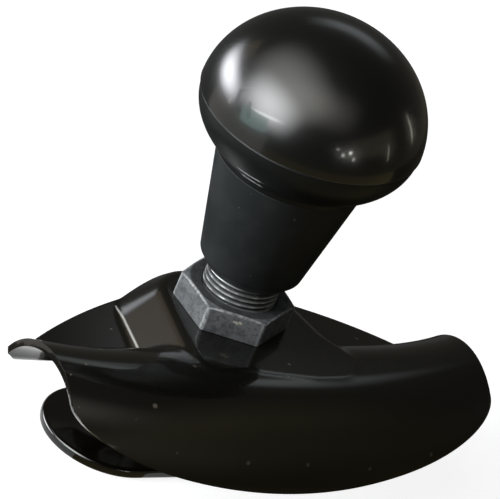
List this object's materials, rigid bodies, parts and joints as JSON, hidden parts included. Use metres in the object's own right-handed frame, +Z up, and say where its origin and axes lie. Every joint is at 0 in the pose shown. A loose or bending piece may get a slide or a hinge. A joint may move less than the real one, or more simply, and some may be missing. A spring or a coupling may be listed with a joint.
{
  "type": "steering wheel spinner knob",
  "caption": "Mushroom-headed spinner knob on a tapered neck, turning on a stud with a lock nut that draws a pressed steel saddle and a flat plate together round a steering wheel rim.",
  "frame": {"origin": "on the stud's axis, in the flat underside of the lower clamp plate, on which the part stands", "axes": "+Z up the stud towards the knob, +X along the steering wheel rim, which is the plates' length, +Y towards the wheel's hub"},
  "size_m": [0.1312, 0.0802, 0.1245],
  "materials": {
    "saddle_black_enamel": "gloss",
    "plate_black_enamel": "gloss",
    "stud_steel": "satin",
    "nut_grey_steel": "satin",
    "neck_matte_black": "matte",
    "shell_matte_black": "matte",
    "cap_gloss_black": "gloss",
    "bush_bronze": "satin",
    "seal_felt": "matte",
    "race_steel": "polished",
    "ball_steel": "polished",
    "cage_brass": "satin",
    "seal_rubber": "matte",
    "clip_steel": "satin",
    "washer_steel": "satin",
    "insert_plastic": "satin"
  },
  "bodies": {
    "stud_unit": {"pillar_stud": "stud_steel", "lower_clamp_plate": "plate_black_enamel", "bearing_inner_race": "race_steel", "end_washer": "washer_steel", "end_nut": "washer_steel", "nut_insert": "insert_plastic"},
    "saddle": {"upper_clamp_plate": "saddle_black_enamel"},
    "nut": {"lock_nut": "nut_grey_steel"},
    "knob": {"neck_sleeve": "neck_matte_black", "head_shell": "shell_matte_black", "dome_cap": "cap_gloss_black", "guide_bush": "bush_bronze", "dust_seal": "seal_felt", "bearing_outer_race": "race_steel", "bearing_upper_seal": "seal_rubber", "bearing_lower_seal": "seal_rubber", "circlip": "clip_steel"},
    "ball_cage": {"bearing_cage": "cage_brass", "bearing_balls": "ball_steel"}
  },
  "joints": [
    {"name": "saddle_lift", "type": "slide", "parent": "stud_unit", "child": "saddle", "axis": [0, 0, 1], "range_m": [0, 0.0045]},
    {"name": "nut_turn", "type": "hinge", "parent": "saddle", "child": "nut", "pos_m": [0, 0, 0.039], "axis": [0, 0, 1], "range_deg": [0, 1080]},
    {"name": "knob_spin", "type": "hinge", "parent": "stud_unit", "child": "knob", "pos_m": [0, 0, 0.0825], "axis": [0, 0, 1], "continuous": true},
    {"name": "cage_spin", "type": "hinge", "parent": "stud_unit", "child": "ball_cage", "pos_m": [0, 0, 0.0825], "axis": [0, 0, 1], "continuous": true}
  ],
  "couplings": [
    {"joint": "nut_turn", "follows": "saddle_lift", "rad_per_m": 4188.8},
    {"joint": "cage_spin", "follows": "knob_spin", "ratio": 0.615}
  ]
}
